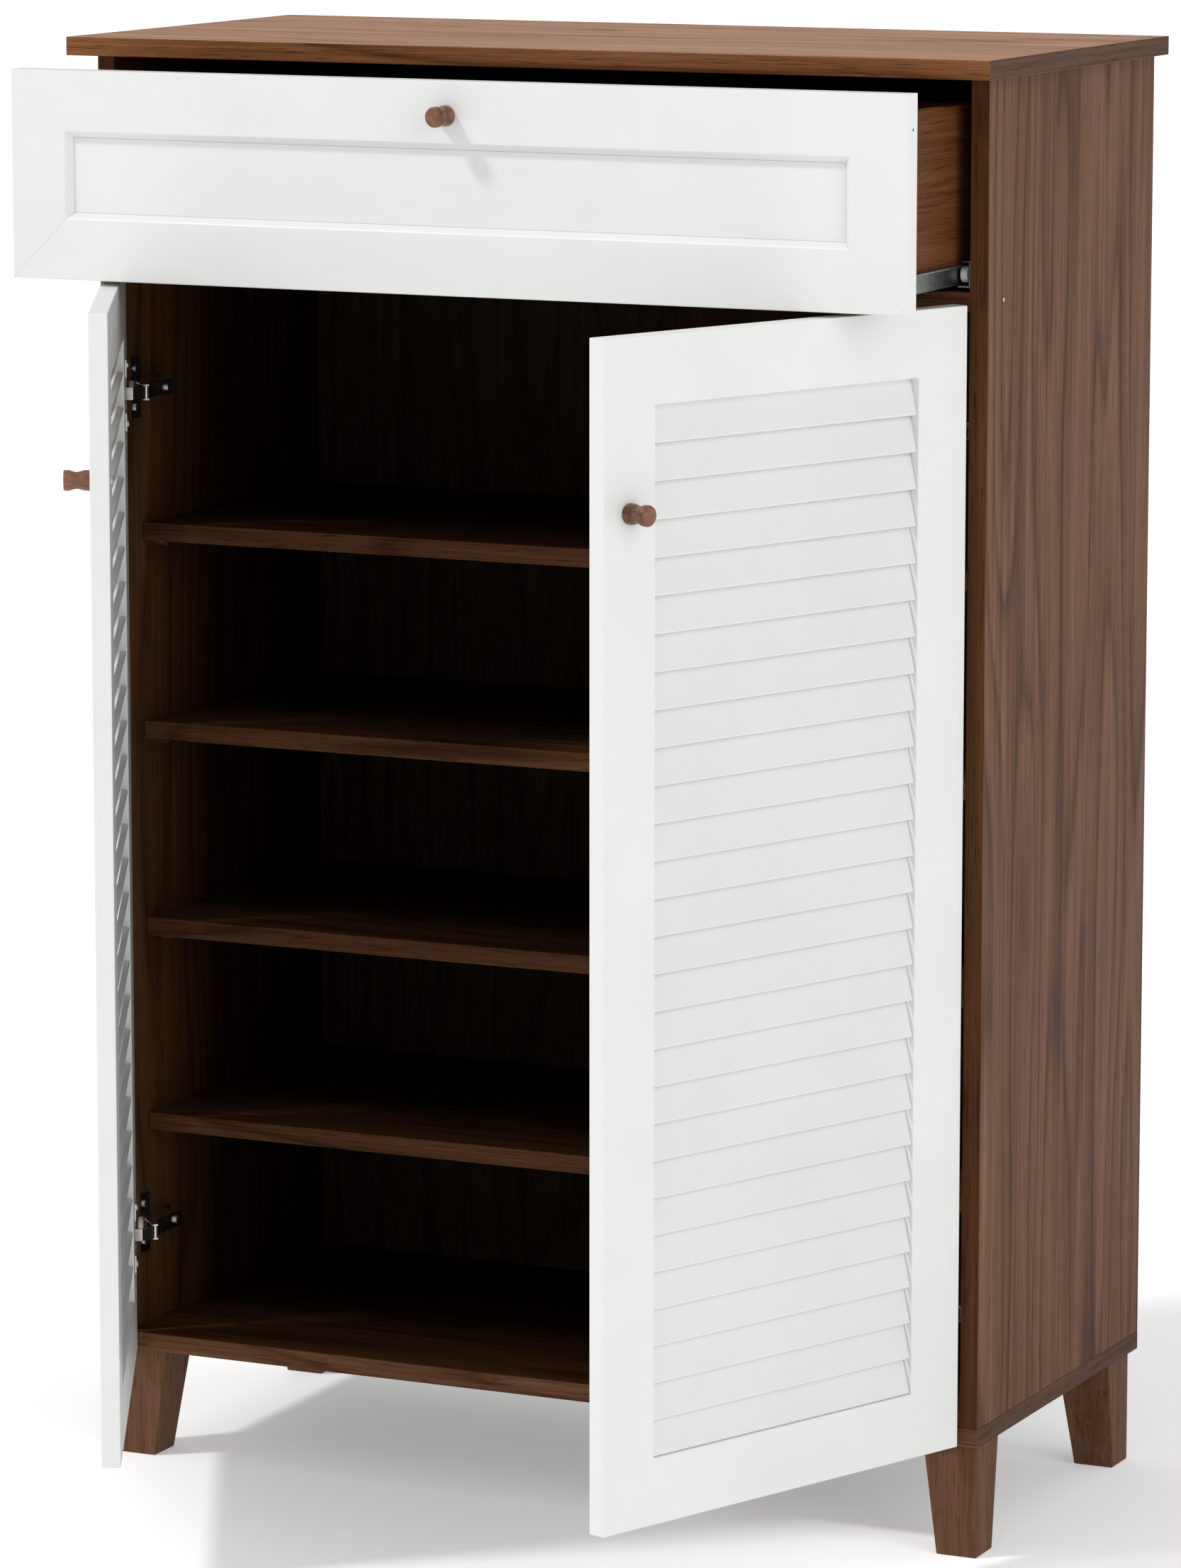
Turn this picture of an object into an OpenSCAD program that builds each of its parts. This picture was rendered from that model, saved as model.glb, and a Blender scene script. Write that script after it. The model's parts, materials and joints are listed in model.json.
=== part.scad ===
/* [Overall] */
// Width of the top panel
top_w = 800; // [760:5:860]
// Depth of the top panel
top_d = 387; // [370:1:400]
// Height from the floor to the top surface
total_h = 1180; // [1170:1:1200]
// Thickness of the carcass boards
board_t = 15; // [15:1:16]
// How far the top panel overhangs each side panel
overhang = 12; // [10:1:16]
// Height of the legs
leg_h = 91; // [85:1:100]

/* [Shelves] */
// Height of the lowest shelf's top face above the floor
shelf_first = 285; // [270:1:290]
// Distance from one shelf to the next
shelf_pitch = 165; // [155:1:165]
// Distance of the shelves' front edges behind the carcass front
shelf_setback = 38; // [36:1:60]

/* [Doors] */
// Width of one door
door_w = 384; // [380:1:384]
// Thickness of a door
door_t = 15; // [15:1:16]
// Width of the door stiles
stile_w = 53; // [50:1:60]
// Height of the door rails
rail_h = 52; // [48:1:60]
// Number of louvre slats in each door
slat_count = 28; // [26:1:28]
// Opening angle of the left door at rest
left_open = 63; // [0:1:90]
// Opening angle of the right door at rest
right_open = 68.5; // [0:0.5:90]

/* [Drawer] */
// Width of the drawer front
front_w = 766; // [760:1:768]
// Height of the drawer front
front_h = 165; // [160:1:165]
// How far the drawer is pulled out at rest
pulled_out = 130; // [0:5:250]

/* [Knobs] */
// Diameter of the wooden knobs
knob_d = 16; // [14:1:20]
// Length of the wooden knobs
knob_l = 21; // [18:1:24]

/* [Hidden] */
$fn = 48;
front_y = overhang + door_t + 3;      // carcass front, behind the top panel's front edge
side_out = top_w / 2 - overhang;      // outer face of a side panel
side_in = side_out - board_t;         // inner face of a side panel
under_top = total_h - board_t;        // underside of the top panel
bottom_top = leg_h + board_t;         // top face of the bottom panel
back_t = 3;                           // hardboard back
back_y = top_d - back_t;              // front face of the back
rebate = 9;                           // how far the back reaches over each panel

// panel under the drawer
divider_top = 1001;
divider_screw_y = front_y + 33;

// doors, drawn closed: outer face at door_y
door_gap = 2.5;                       // bumper space behind a closed door
door_y = front_y - door_gap - door_t;
door_in = door_y + door_t;            // inner face of a closed door
door_edge = door_w + 1.5;             // hinge edge of the right door
door_low = 93;
door_high = 992;
door_h = door_high - door_low;
stile_x = door_edge - stile_w;
open_w = door_w - 2 * stile_w;
open_h = door_h - 2 * rail_h;
slat_pitch = open_h / slat_count;
slat_t = 5;
slat_in = 1.4;                        // a slat's lower front edge behind the door's face
slat_up = 0.4;                        // the lowest slat's front edge above the bottom rail
slat_lap = 2.5;                       // how far each slat reaches up behind the next
slat_reach = 8.2;
slat_tilt = atan(slat_reach / (slat_pitch + slat_lap));
slat_len = (slat_pitch + slat_lap) / cos(slat_tilt);
door_knob_z = door_high - 130;
door_knob_x = door_edge - door_w + stile_w / 2;

// concealed hinges: one pin on the arm, one in the cup
hinge_z = [door_low + 100, door_high - 100];
wing_screw_x = 5;                     // wing screws beside the cup's centre, towards the hinge edge
wing_screw_z = 24;                    // and above and below it
wing_half = 29;
cup_r = 17.5;
cup_depth = 11.5;
cup_x = door_edge - 22.5;
plate_y = front_y + 28;
arm_pin = [side_in - 26, front_y + 0.5];
cup_pin = [door_edge - 16, door_in - 6];
pin_r = 1;
pin_fit = 0.05;
link_run = cup_pin - arm_pin;
link_len = norm(link_run);
link_closed = atan2(link_run[1], link_run[0]);
link_share = 0.5;                     // part of the door's angle that the link turns back
knee_along = 14.5;
knee_off = 5;
function link_dir(open) = link_closed - link_share * open;
function cup_at(open) = arm_pin + link_len * [cos(link_dir(open)), sin(link_dir(open))];

// drawer, drawn closed
front_t = 18;
front_low = 996;
drawer_y = front_y - 1 - front_t;     // outer face of the closed drawer front
box_y = drawer_y + front_t;
box_x = side_in - 13;                 // outer face of a drawer side
box_t = 12;
box_low = 1007;
box_h = 136;
box_len = 330;
frame_w = 53;                         // width of the frame round the drawer panel
panel_in = 6;                         // how far the drawer panel lies behind its frame
sticking = 5;                         // chamfer along the frame's inner edge
brad_r = 1.2;
brad_up = 138;                        // the brad hole's height on the drawer front
base_z = box_low + 9;
base_t = 3;
drawer_knob_z = front_low + front_h - frame_w / 2;

// roller slides
sheet = 1.2;
roller_r = 6.5;
roller_w = 5.5;
roller_pin_r = 1.5;
roller_fit = 0.3;
run_top = box_low + 15;
front_roller_y = front_y + 12;
front_roller_z = run_top - sheet - roller_fit - roller_r;
channel_low = box_low - 2.5;
channel_h = 20.5;
channel_screws = [90, 190, 290];
runner_at = [40, 150, 260];           // runner screws behind the drawer's front end
rear_roller_y = box_y + box_len - 14;
rear_roller_z = channel_low + sheet + roller_fit + roller_r;

// legs
leg_top = 46;
leg_foot = 34;
leg_x = side_out - 2;                 // outer face of a leg
leg_front = front_y + 5;              // front face of a front leg
leg_back = top_d - 16;                // back face of a back leg
stud_in = 22;                         // from a leg's outer faces to its stud
stud_deep = 28;
stud_r = 4;

// fasteners
dowel_r = 4;
dowel_len = 30;
dowel_deep = 10;                      // how far a dowel enters the outer board
screw_r = 2.5;
screw_len = 46;
screw_head_r = 4;
divider_pin_r = 1.6;                  // slim fixing seen on a side panel
divider_pin_len = 42;
small_screw_r = 1.75;
small_head_r = 3.2;
plate_head_r = 3.4;
plate_screw_gap = 16;                 // plate screws above and below a hinge's centre
adjust_r = 2.1;                       // screw that clamps a hinge arm to its plate
nail_r = 0.8;
nail_head_r = 2;
nail_head_t = 0.6;
nail_len = 12;
cam_r = 7.5;
cam_depth = 12.5;
cam_drop = 34;                        // from a cam's centre to the joint
cam_bolt_r = 3.5;
cam_bolt_in = 6.5;                    // from the inner face to a cam bolt's centre line
cam_bolt_deep = 10;                   // how far a cam bolt enters the top panel
shelf_pin_r = 2.5;
bumper_r = 3.5;
bumper_t = 2.2;
fix_y = [front_y + 50, top_d - 60];   // screws and cams along the side panels
dowel_y = [front_y + 82, top_d - 92];
pin_y = [front_y + 70, top_d - 45];
shelf_d = top_d - 9 - front_y - shelf_setback;

// the origin lies on the floor, under the middle of the whole box at rest
function hinge_corner_y(open) = cup_at(open)[1] + 16 * sin(open) + 6 * cos(open);
function free_y(open) = hinge_corner_y(open) - door_w * sin(open) - door_t * cos(open);
mid_y = (top_d + min(free_y(left_open), free_y(right_open))) / 2;

// placing

module in_frame() {
    translate([0, -mid_y, 0]) children();
}

// a closed right-hand door's pieces, swung open
module swung(open) {
    translate([cup_at(open)[0], cup_at(open)[1], 0])
        rotate([0, 0, open])
            translate([-cup_pin[0], -cup_pin[1], 0]) children();
}

module on_right_door() {
    in_frame() swung(right_open) children();
}

module on_left_door() {
    in_frame() mirror([1, 0, 0]) swung(left_open) children();
}

module on_drawer() {
    in_frame() translate([0, -pulled_out, 0]) children();
}

module both_sides() {
    children();
    mirror([1, 0, 0]) children();
}

// a box given by its lowest and highest corners
module block(low, high) {
    translate(low) cube(high - low);
}

module rod_x(r, length) {
    rotate([0, 90, 0]) cylinder(r = r, h = length);
}

module rod_y(r, length) {
    rotate([-90, 0, 0]) cylinder(r = r, h = length);
}

// carcass fasteners, right-hand half

module half_dowels() {
    for (y = dowel_y) {
        translate([side_out - board_t / 2, y, under_top + dowel_deep - dowel_len])
            cylinder(r = dowel_r, h = dowel_len);
        translate([side_out - board_t / 2, y, bottom_top - dowel_deep])
            cylinder(r = dowel_r, h = dowel_len);
        translate([side_in + dowel_deep - dowel_len, y, divider_top - board_t / 2])
            rod_x(dowel_r, dowel_len);
    }
}

module half_cams() {
    for (y = fix_y)
        translate([side_in, y, under_top - cam_drop]) rod_x(cam_r, cam_depth);
}

module half_cam_bolts() {
    for (y = fix_y)
        translate([side_in + cam_bolt_in, y, under_top - cam_drop])
            cylinder(r = cam_bolt_r, h = cam_drop + cam_bolt_deep);
}

module half_panel_screws() {
    for (y = fix_y)
        translate([side_out - board_t / 2, y, leg_h]) {
            cylinder(r = screw_r, h = screw_len);
            cylinder(r = screw_head_r, h = 3);
        }
    translate([side_out - divider_pin_len, divider_screw_y, divider_top - board_t / 2])
        rod_x(divider_pin_r, divider_pin_len);
}

// screws that hold the hinge plates and slide channels to a side panel
module half_fitting_screws() {
    for (z = hinge_z, s = [-1, 1])
        translate([side_in - 3, plate_y, z + s * plate_screw_gap]) {
            translate([1.5, 0, 0]) rod_x(small_screw_r, 13);
            rod_x(plate_head_r, 1.5);
        }
    for (y = channel_screws)
        translate([side_in - sheet - 1, front_y + y, channel_low + channel_h / 2]) {
            rod_x(small_screw_r, 13);
            rod_x(small_head_r, 1);
        }
}

module carcass_holes() {
    both_sides() {
        half_dowels();
        half_cams();
        half_cam_bolts();
        half_panel_screws();
        half_fitting_screws();
    }
    nails();
}

// carcass panels

module top_panel() {
    color("#8a6248") in_frame() difference() {
        block([-top_w / 2, 0, under_top], [top_w / 2, top_d, total_h]);
        carcass_holes();
    }
}

module side_panel() {
    difference() {
        block([side_in, front_y, bottom_top], [side_out, top_d, under_top]);
        block([side_in - 1, back_y, 0], [side_in + rebate, top_d + 1, total_h]);
        carcass_holes();
        half_shelf_pins();
    }
}

module left_side_panel() {
    color("#6e4d3b") in_frame() mirror([1, 0, 0]) side_panel();
}

module right_side_panel() {
    color("#6e4d3b") in_frame() side_panel();
}

module leg_studs() {
    for (s = [-1, 1], y = [leg_front + stud_in, leg_back - stud_in])
        translate([s * (leg_x - stud_in), y, leg_h - stud_deep]) cylinder(r = stud_r, h = stud_deep + 10);
}

module bottom_panel() {
    color("#6a4836") in_frame() difference() {
        block([-side_out, front_y, leg_h], [side_out, top_d, bottom_top]);
        block([-side_in - rebate, back_y, bottom_top - rebate],
            [side_in + rebate, top_d + 1, bottom_top + 1]);
        carcass_holes();
        leg_studs();
    }
}

module nail(x, z) {
    translate([x, back_y - nail_len, z]) rod_y(nail_r, nail_len + back_t);
    translate([x, top_d - nail_head_t, z]) rod_y(nail_head_r, nail_head_t);
}

module nails() {
    for (s = [-1, 1], z = [150:165:1140]) nail(s * (side_in + 4.5), z);
    for (x = [-300:150:300]) nail(x, bottom_top - 4.5);
}

module back_panel() {
    color("#7a5a44") in_frame() difference() {
        block([-side_in - rebate, back_y, bottom_top - rebate],
            [side_in + rebate, top_d, under_top]);
        nails();
    }
}

module back_panel_nails() {
    color("silver") in_frame() nails();
}

module drawer_divider() {
    color("#5a3c2b") in_frame() difference() {
        block([-side_in, front_y, divider_top - board_t], [side_in, back_y, divider_top]);
        carcass_holes();
    }
}

// shelves

function shelf_z(s) = shelf_first + s * shelf_pitch;

module shelf(s) {
    color("#5f4130") in_frame()
        translate([1 - side_in, front_y + shelf_setback, shelf_z(s) - board_t])
            cube([2 * side_in - 2, shelf_d, board_t]);
}

module shelf_1() shelf(3);
module shelf_2() shelf(2);
module shelf_3() shelf(1);
module shelf_4() shelf(0);

// a peg in the side panel with a flat tongue under the shelf
module half_shelf_pins() {
    for (s = [0:3], y = pin_y)
        translate([side_in, y, shelf_z(s) - board_t]) {
            translate([0, 0, -3.5]) rod_x(shelf_pin_r, 10);
            translate([-9, -4, -7]) cube([9, 8, 2]);
            translate([-9, -4, -5]) cube([1.5, 8, 5]);
            translate([-1.5, -4, -7]) cube([1.5, 8, 7]);
            translate([-9, -1, -5]) cube([9, 2, 5]);
        }
}

module shelf_pins() {
    color("silver") in_frame() both_sides() half_shelf_pins();
}

// legs

// a square block whose two inner faces slope inwards to the foot
module leg() {
    difference() {
        intersection() {
            rotate([90, 0, 0]) translate([0, 0, -leg_top])
                linear_extrude(leg_top) leg_outline();
            rotate([90, 0, 90]) linear_extrude(leg_top) leg_outline();
        }
        translate([stud_in, stud_in, leg_h - stud_deep]) cylinder(r = stud_r, h = stud_deep + 1);
    }
}

module leg_outline() {
    polygon([[0, 0], [leg_foot, 0], [leg_top, leg_h], [0, leg_h]]);
}

module front_left_leg() {
    color("#6b4a38") in_frame() translate([-leg_x, leg_front, 0]) leg();
}

module front_right_leg() {
    color("#6b4a38") in_frame() translate([leg_x, leg_front, 0]) mirror([1, 0, 0]) leg();
}

module back_left_leg() {
    color("#6b4a38") in_frame() translate([-leg_x, leg_back, 0]) mirror([0, 1, 0]) leg();
}

module back_right_leg() {
    color("#6b4a38") in_frame() translate([leg_x, leg_back, 0]) rotate([0, 0, 180]) leg();
}

module leg_bolts() {
    color("silver") in_frame() leg_studs();
}

// visible and hidden fasteners

module cam_locks() {
    color("silver") in_frame() both_sides() difference() {
        half_cams();
        half_cam_bolts();
        for (y = fix_y)
            translate([side_in - 1, y - 4, under_top - cam_drop - 0.75]) cube([2.5, 8, 1.5]);
    }
}

module cam_bolts() {
    color("silver") in_frame() both_sides() half_cam_bolts();
}

module hex_sockets() {
    for (y = fix_y)
        translate([side_out - board_t / 2, y, leg_h - 1]) cylinder(r = 2, h = 3, $fn = 6);
}

module fixing_screws() {
    color("silver") in_frame() both_sides() {
        difference() {
            half_panel_screws();
            hex_sockets();
        }
        half_fitting_screws();
        for (z = hinge_z)
            translate([side_in - 22, plate_y + 20, z]) {
                translate([2, 0, 0]) rod_x(adjust_r, 15);
                rod_x(3.6, 2);
            }
    }
}

module wood_dowels() {
    color("burlywood") in_frame() both_sides() half_dowels();
}

module door_bumpers() {
    color("white") in_frame() both_sides()
        translate([40, front_y - bumper_t, divider_top - board_t + 4]) rod_y(bumper_r, bumper_t);
}

// drawer slides

module slide_channel() {
    back = front_y + 342;
    front = front_y + 1;
    difference() {
        union() {
            block([side_in - sheet, front, channel_low], [side_in, back, channel_low + channel_h]);
            block([side_in - 10, front, channel_low], [side_in, back, channel_low + sheet]);
            block([side_in - 7, front, channel_low + channel_h - sheet],
                [side_in, back, channel_low + channel_h]);
        }
        for (y = channel_screws)
            translate([side_in - 5, front_y + y, channel_low + channel_h / 2])
                rod_x(small_screw_r, 10);
    }
    translate([side_in - 11, front_roller_y, front_roller_z]) rod_x(roller_pin_r, 11);
    translate([side_in - 11, front_roller_y, front_roller_z]) rod_x(2.4, 0.8);
}

module left_slide_channel() {
    color("#8d918f") in_frame() mirror([1, 0, 0]) slide_channel();
}

module right_slide_channel() {
    color("#8d918f") in_frame() slide_channel();
}

module roller() {
    difference() {
        rod_x(roller_r, roller_w);
        translate([-1, 0, 0]) rod_x(roller_pin_r + 0.05, roller_w + 2);
    }
}

module front_rollers() {
    color("white") in_frame() both_sides()
        translate([side_in - 10, front_roller_y, front_roller_z]) roller();
}

module rear_rollers() {
    color("white") on_drawer() both_sides()
        translate([side_in - 9.5, rear_roller_y, rear_roller_z]) roller();
}

module drawer_runner() {
    back = box_y + box_len - 4;
    difference() {
        union() {
            block([box_x, box_y + 1, box_low - sheet], [box_x + sheet, back, run_top]);
            block([box_x - box_t, box_y + 1, box_low - sheet], [box_x + sheet, back, box_low]);
            block([box_x, box_y + 1, run_top - sheet], [box_x + 8.5, back, run_top]);
        }
        runner_screws();
    }
    translate([box_x + sheet, rear_roller_y, rear_roller_z]) rod_x(roller_pin_r, 9.5);
    translate([box_x + 9.4, rear_roller_y, rear_roller_z]) rod_x(2.4, 0.8);
}

module left_drawer_runner() {
    color("#9a9e9c") on_drawer() mirror([1, 0, 0]) drawer_runner();
}

module right_drawer_runner() {
    color("#9a9e9c") on_drawer() drawer_runner();
}

// drawer

// one side of the mitred frame, its outer edge on the x axis
module frame_side(length) {
    intersection() {
        linear_extrude(front_t)
            polygon([[-length / 2, 0], [length / 2, 0], [length / 2 - frame_w, frame_w],
                [frame_w - length / 2, frame_w]]);
        rotate([0, 90, 0]) rotate([0, 0, 90])
            translate([0, 0, -length / 2]) linear_extrude(length)
                polygon([[0, 0], [frame_w, 0], [frame_w, front_t - panel_in],
                    [frame_w - sticking, front_t], [0, front_t]]);
    }
}

// stands the frame's flat plan up in the drawer front, face to the front
module stood_up() {
    on_drawer()
        translate([0, drawer_y + front_t, front_low + front_h / 2])
            rotate([90, 0, 0]) children();
}

module drawer_front_top() {
    color("#e8e8e6") difference() {
        stood_up() translate([0, front_h / 2, 0]) mirror([0, 1, 0]) frame_side(front_w);
        on_drawer() knob_hole(0, drawer_y, drawer_knob_z);
    }
}

module drawer_front_bottom() {
    color("#e8e8e6") stood_up() translate([0, -front_h / 2, 0]) frame_side(front_w);
}

module drawer_front_left() {
    color("#e6e6e4") difference() {
        stood_up() translate([-front_w / 2, 0, 0]) rotate([0, 0, -90]) frame_side(front_h);
        on_drawer() front_pegs();
    }
}

module drawer_front_right() {
    color("#e6e6e4") difference() {
        stood_up() translate([front_w / 2, 0, 0]) rotate([0, 0, 90]) frame_side(front_h);
        on_drawer() {
            front_pegs();
            brad_hole();
        }
    }
}

// small hole in the frame's right end, where its corner was pinned
module brad_hole() {
    translate([front_w / 2 - 4, drawer_y + front_t / 2, front_low + brad_up]) rod_x(brad_r, 5);
}

module drawer_front_panel() {
    color("#ededeb") stood_up()
        block([frame_w - front_w / 2, frame_w - front_h / 2, 0],
            [front_w / 2 - frame_w, front_h / 2 - frame_w, front_t - panel_in]);
}

module base_groove() {
    block([-box_x + 6, box_y, base_z], [box_x - 6, box_y + box_len - box_t, base_z + base_t]);
}

module drawer_side() {
    difference() {
        block([box_x - box_t, box_y, box_low], [box_x, box_y + box_len, box_low + box_h]);
        base_groove();
        back_screws();
        front_pegs();
        runner_screws();
    }
}

module drawer_left_side() {
    color("#7b5138") on_drawer() mirror([1, 0, 0]) drawer_side();
}

module drawer_right_side() {
    color("#7b5138") on_drawer() drawer_side();
}

module drawer_back() {
    color("#7b5138") on_drawer() difference() {
        block([box_t - box_x, box_y + box_len - box_t, box_low],
            [box_x - box_t, box_y + box_len, box_low + box_h - 10]);
        both_sides() back_screws();
    }
}

module drawer_base() {
    color("#6b4b39") on_drawer() base_groove();
}

module back_screws() {
    for (z = [30, 96])
        translate([box_x, box_y + box_len - box_t / 2, box_low + z]) rotate([0, -90, 0]) {
            cylinder(r = small_screw_r, h = 40);
            cylinder(r = small_head_r, h = 2);
        }
}

// threaded pegs from the drawer front into the ends of the drawer sides
module front_pegs() {
    for (s = [-1, 1], z = [42, 108])
        translate([s * (box_x - box_t / 2), box_y - 10, box_low + z]) rod_y(2.5, 34);
}

module runner_screws() {
    for (y = runner_at)
        translate([box_x - 9, box_y + y, box_low + 7]) {
            rod_x(1.6, 9 + sheet);
            translate([9 + sheet, 0, 0]) rod_x(3, 0.6);
        }
}

module drawer_screws() {
    color("silver") on_drawer() {
        front_pegs();
        knob_screw(0, drawer_y, drawer_knob_z, front_t);
        both_sides() {
            back_screws();
            runner_screws();
        }
    }
}

// knobs

// round grip with a shallow waist, base at z = 0
module knob_body() {
    r = knob_d / 2;
    difference() {
        rotate_extrude()
            polygon([[0, 0], [r - 0.6, 0], [r, 0.6], [r, 4.5], [r - 0.5, 6.5], [r - 1.3, 8.5],
                [r - 1.6, 10.5], [r - 1.3, 12.5], [r - 0.5, 14.5], [r, 16.5],
                [r, knob_l - 0.8], [r - 0.8, knob_l], [0, knob_l]]);
        translate([0, 0, -1]) cylinder(r = 2, h = 13);
    }
}

module knob_at(x, y, z) {
    translate([x, y, z]) rotate([90, 0, 0]) knob_body();
}

module knob_hole(x, y, z) {
    translate([x, y - 1, z]) rod_y(2.2, 30);
}

// machine screw with its pan head on the inner face at depth thick
module knob_screw(x, y, z, thick) {
    translate([x, y - 11, z]) rod_y(2, thick + 11);
    difference() {
        translate([x, y + thick, z]) rod_y(4, 1.8);
        translate([x - 3, y + thick + 1, z - 0.5]) cube([6, 2, 1]);
    }
}

module drawer_knob() {
    color("#9a6e55") on_drawer() knob_at(0, drawer_y, drawer_knob_z);
}

// doors, drawn closed on the right-hand side

module cup_hole() {
    for (z = hinge_z)
        translate([cup_x, door_in - cup_depth, z]) rod_y(cup_r, cup_depth + 1);
}

module cup_screw_holes(r, length) {
    for (z = hinge_z, s = [-1, 1])
        translate([cup_x + wing_screw_x, door_in - length, z + s * wing_screw_z]) rod_y(r, length);
}

module hinge_stile() {
    color("#e9e9e7") difference() {
        block([stile_x, door_y, door_low], [door_edge, door_in, door_high]);
        cup_hole();
        cup_screw_holes(small_screw_r, 10);
    }
}

module free_stile() {
    color("#e9e9e7") difference() {
        block([door_edge - door_w, door_y, door_low],
            [door_edge - door_w + stile_w, door_in, door_high]);
        knob_hole(door_knob_x, door_y, door_knob_z);
    }
}

module rail(low) {
    color("#e9e9e7")
        block([stile_x - open_w, door_y, low], [stile_x, door_in, low + rail_h]);
}

// one slat's end outline, its lower front edge at the origin, y inwards and z up
module slat_outline() {
    rotate(-slat_tilt) polygon([[0, 0], [slat_t, 0], [slat_t, slat_len], [0, slat_len]]);
}

module louvres() {
    color("#ececea") intersection() {
        for (k = [0:slat_count - 1])
            translate([stile_x - open_w, door_y + slat_in, door_low + rail_h + slat_up + k * slat_pitch])
                rotate([90, 0, 90]) linear_extrude(open_w) slat_outline();
        block([stile_x - open_w, door_y, door_low + rail_h], [stile_x, door_in, door_high - rail_h]);
    }
}

module door_knob() {
    color("#9a6e55") knob_at(door_knob_x, door_y, door_knob_z);
}

// the knob's screw and the hinge cups' screws
module door_screws() {
    color("silver") {
        knob_screw(door_knob_x, door_y, door_knob_z, door_t);
        cup_screw_holes(small_screw_r, 9.5);
        for (z = hinge_z, s = [-1, 1])
            translate([cup_x + wing_screw_x, door_in, z + s * wing_screw_z]) {
                rod_y(small_screw_r, 1);
                translate([0, 1, 0]) rod_y(small_head_r, 1);
            }
    }
}

// pressed cup with its two wings on the door's inner face and the pin across it
module hinge_cup(z) {
    difference() {
        union() {
            translate([cup_x, door_in - cup_depth, z]) rod_y(cup_r, cup_depth);
            block([cup_x - 8, door_in, z - wing_half], [cup_x + 10, door_in + 1, z + wing_half]);
        }
        translate([cup_x, door_in - cup_depth + 0.7, z]) rod_y(cup_r - 0.8, cup_depth + 3);
        for (s = [-1, 1])
            translate([cup_x + wing_screw_x, door_in - 1, z + s * wing_screw_z])
                rod_y(small_screw_r, 4);
    }
    translate([cup_pin[0], cup_pin[1], z - 15.8]) cylinder(r = pin_r, h = 31.6);
}

module hinge_cups() {
    color("silver") for (z = hinge_z) hinge_cup(z);
}

// hinge links, arms and plates on the right-hand side

module strap(from, to, z) {
    run = to - from;
    translate([from[0], from[1], z - 5])
        rotate([0, 0, atan2(run[1], run[0])])
            translate([0, -1.1, 0]) cube([norm(run), 2.2, 10]);
}

// cranked strap from the arm's pin, drawn for a closed door
module hinge_link(z) {
    along = link_run / link_len;
    knee = arm_pin + knee_along * along + knee_off * [along[1], -along[0]];
    difference() {
        union() {
            strap(arm_pin, knee, z);
            strap(knee, cup_pin, z);
            for (p = [arm_pin, cup_pin])
                translate([p[0], p[1], z - 5]) cylinder(r = 2.1, h = 10);
            translate([knee[0], knee[1], z - 5]) cylinder(r = 1.1, h = 10);
        }
        for (p = [arm_pin, cup_pin])
            translate([p[0], p[1], z - 6]) cylinder(r = pin_r + pin_fit, h = 12);
    }
}

module links(open) {
    translate([arm_pin[0], arm_pin[1], 0])
        rotate([0, 0, -link_share * open])
            translate([-arm_pin[0], -arm_pin[1], 0])
                for (z = hinge_z) hinge_link(z);
}

module left_hinge_links() {
    color("silver") in_frame() mirror([1, 0, 0]) links(left_open);
}

module right_hinge_links() {
    color("silver") in_frame() links(right_open);
}

module arm_cheek() {
    polygon([[arm_pin[0] - 2.6, arm_pin[1] + 0.5], [arm_pin[0], arm_pin[1] - 2.2],
        [arm_pin[0] + 2.6, arm_pin[1] - 1], [side_in - 8, plate_y - 12],
        [side_in - 8, plate_y + 30], [side_in - 20, plate_y + 30],
        [side_in - 20, plate_y - 12]]);
}

module hinge_arm(z) {
    difference() {
        union() {
            for (low = [5.2, -6.4])
                translate([0, 0, z + low]) linear_extrude(sheet) arm_cheek();
            block([side_in - 20, plate_y - 12, z - 6.4],
                [side_in - 20 + sheet, plate_y + 30, z + 6.4]);
        }
        translate([side_in - 21, plate_y + 20, z]) rod_x(adjust_r, 4);
    }
    translate([arm_pin[0], arm_pin[1], z - 6.4]) cylinder(r = pin_r, h = 12.8);
}

module hinge_arms() {
    color("silver") in_frame() both_sides()
        for (z = hinge_z) hinge_arm(z);
}

module hinge_plate(z) {
    difference() {
        union() {
            block([side_in - 1.5, plate_y - 8, z - 25], [side_in, plate_y + 8, z + 25]);
            block([side_in - 1.5, plate_y - 12, z - 6.4], [side_in, plate_y + 44, z + 6.4]);
            block([side_in - 8, plate_y - 8, z - 6.4], [side_in - 1.5, plate_y + 30, z + 6.4]);
        }
        for (s = [-1, 1])
            translate([side_in - 3, plate_y, z + s * plate_screw_gap]) rod_x(small_screw_r, 4);
        translate([side_in - 12, plate_y + 20, z]) rod_x(adjust_r, 7);
    }
}

module hinge_plates() {
    color("silver") in_frame() both_sides()
        for (z = hinge_z) hinge_plate(z);
}

// the two doors' own nodes

module left_hinge_stile() on_left_door() hinge_stile();
module left_free_stile() on_left_door() free_stile();
module left_top_rail() on_left_door() rail(door_high - rail_h);
module left_bottom_rail() on_left_door() rail(door_low);
module left_louvres() on_left_door() louvres();
module left_knob() on_left_door() door_knob();
module left_door_screws() on_left_door() door_screws();
module left_hinge_cups() on_left_door() hinge_cups();
module right_hinge_stile() on_right_door() hinge_stile();
module right_free_stile() on_right_door() free_stile();
module right_top_rail() on_right_door() rail(door_high - rail_h);
module right_bottom_rail() on_right_door() rail(door_low);
module right_louvres() on_right_door() louvres();
module right_knob() on_right_door() door_knob();
module right_door_screws() on_right_door() door_screws();
module right_hinge_cups() on_right_door() hinge_cups();

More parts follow.
